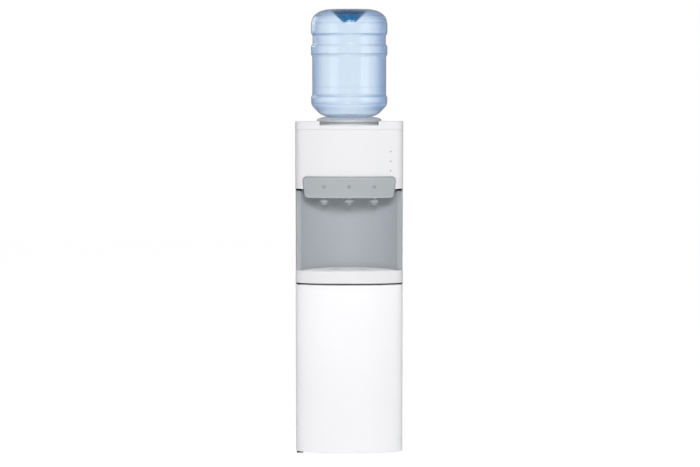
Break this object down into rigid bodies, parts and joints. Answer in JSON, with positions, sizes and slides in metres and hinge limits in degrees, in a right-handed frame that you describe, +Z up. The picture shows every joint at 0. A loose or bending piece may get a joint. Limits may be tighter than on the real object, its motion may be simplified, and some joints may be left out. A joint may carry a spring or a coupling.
{
  "type": "bottled water dispenser",
  "caption": "Floor-standing hot and cold water dispenser: inverted blue bottle on a curved white cabinet, grey head with buttons and taps over an alcove with a drip tray, cupboard door.",
  "frame": {"origin": "on the floor, under the middle of the whole object", "axes": "+Z up, front faces -Y, +X to the right seen from the front"},
  "size_m": [0.31, 0.341, 1.2925],
  "materials": {
    "white_shell": "smooth white gloss",
    "painted_sheet": "white paint",
    "grey_shell": "fine grey texture",
    "head_shell": "satin light grey",
    "seat_shell": "satin grey",
    "zinc_sheet": "zinc coated sheet",
    "stainless": "stainless steel",
    "black_plastic": "black",
    "black_paint": "black paint",
    "rubber": "black rubber",
    "copper": "bare copper tube",
    "silicone": "food grade silicone tube",
    "bottle_blue": "translucent blue",
    "cap_blue": "deep blue",
    "clear_guide": "clear light guide",
    "foam": "rigid foam",
    "board_green": "circuit board",
    "rocker_red": "red",
    "rocker_green": "green"
  },
  "bodies": {
    "cabinet": {"base": "white_shell", "foot_front_left": "rubber", "foot_front_right": "rubber", "foot_rear_left": "rubber", "foot_rear_right": "rubber", "side_panel_left": "painted_sheet", "side_panel_right": "painted_sheet", "back_panel": "painted_sheet", "top_cover": "white_shell", "upper_panel": "white_shell", "light_guide": "clear_guide", "alcove_moulding": "grey_shell", "ledge": "white_shell", "hinge_pin_upper": "stainless", "hinge_bracket_lower": "zinc_sheet", "cupboard_liner": "white_shell", "magnet_catch": "black_plastic", "middle_shelf": "zinc_sheet", "tank_shelf": "zinc_sheet", "head_cover": "head_shell", "valve_rack": "black_plastic", "button_spring_hot": "stainless", "button_spring_ambient": "stainless", "button_spring_cold": "stainless", "tap_hot": "head_shell", "tap_ambient": "head_shell", "tap_cold": "head_shell", "bottle_seat": "seat_shell", "feed_probe": "black_plastic", "cold_tank": "stainless", "tank_baffle": "white_shell", "foam_jacket": "foam", "evaporator_coil": "copper", "hot_tank": "stainless", "band_heater": "zinc_sheet", "thermostat": "black_plastic", "compressor": "black_paint", "condenser": "black_paint", "discharge_pipe": "copper", "suction_pipe": "copper", "capillary_line": "copper", "ambient_pipe": "silicone", "cold_pipe": "silicone", "hot_pipe": "silicone", "hot_feed_pipe": "silicone", "drain_pipe": "silicone", "switch_frame": "black_plastic", "control_board": "board_green", "inlet_gland": "rubber"},
    "door": {"cupboard_door": "white_shell"},
    "tray": {"drip_tray": "head_shell"},
    "grille": {"tray_grille": "head_shell"},
    "bottle": {"bottle": "bottle_blue", "bottle_cap": "cap_blue"},
    "button_hot": {"button_hot": "head_shell"},
    "button_ambient": {"button_ambient": "head_shell"},
    "button_cold": {"button_cold": "head_shell"},
    "rocker_hot": {"rocker_hot": "rocker_red"},
    "rocker_cold": {"rocker_cold": "rocker_green"},
    "drain_cap": {"drain_cap": "black_plastic"}
  },
  "joints": [
    {"name": "door_hinge", "type": "hinge", "parent": "cabinet", "child": "door", "pos_m": [-0.145, -0.13, 0.257], "axis": [0, 0, -1], "range_deg": [0, 110]},
    {"name": "bottle_lift", "type": "slide", "parent": "cabinet", "child": "bottle", "axis": [0, 0, 1], "range_m": [0, 0.15]},
    {"name": "tray_lift", "type": "slide", "parent": "cabinet", "child": "tray", "axis": [0, 0, 1], "range_m": [0, 0.12]},
    {"name": "grille_lift", "type": "slide", "parent": "tray", "child": "grille", "axis": [0, 0, 1], "range_m": [0, 0.05]},
    {"name": "button_hot_press", "type": "slide", "parent": "cabinet", "child": "button_hot", "axis": [0, 1, 0], "range_m": [0, 0.003], "stiffness_N_per_m": 300, "springref_m": -0.001, "deforming": ["button_spring_hot"]},
    {"name": "button_ambient_press", "type": "slide", "parent": "cabinet", "child": "button_ambient", "axis": [0, 1, 0], "range_m": [0, 0.003], "stiffness_N_per_m": 300, "springref_m": -0.001, "deforming": ["button_spring_ambient"]},
    {"name": "button_cold_press", "type": "slide", "parent": "cabinet", "child": "button_cold", "axis": [0, 1, 0], "range_m": [0, 0.003], "stiffness_N_per_m": 300, "springref_m": -0.001, "deforming": ["button_spring_cold"]},
    {"name": "rocker_hot_tip", "type": "hinge", "parent": "cabinet", "child": "rocker_hot", "pos_m": [0.067, 0.14, 0.578], "axis": [-1, 0, 0], "range_deg": [0, 16]},
    {"name": "rocker_cold_tip", "type": "hinge", "parent": "cabinet", "child": "rocker_cold", "pos_m": [0.093, 0.14, 0.578], "axis": [-1, 0, 0], "range_deg": [0, 16]},
    {"name": "drain_cap_pull", "type": "slide", "parent": "cabinet", "child": "drain_cap", "axis": [0, 1, 0], "range_m": [0, 0.03]}
  ]
}
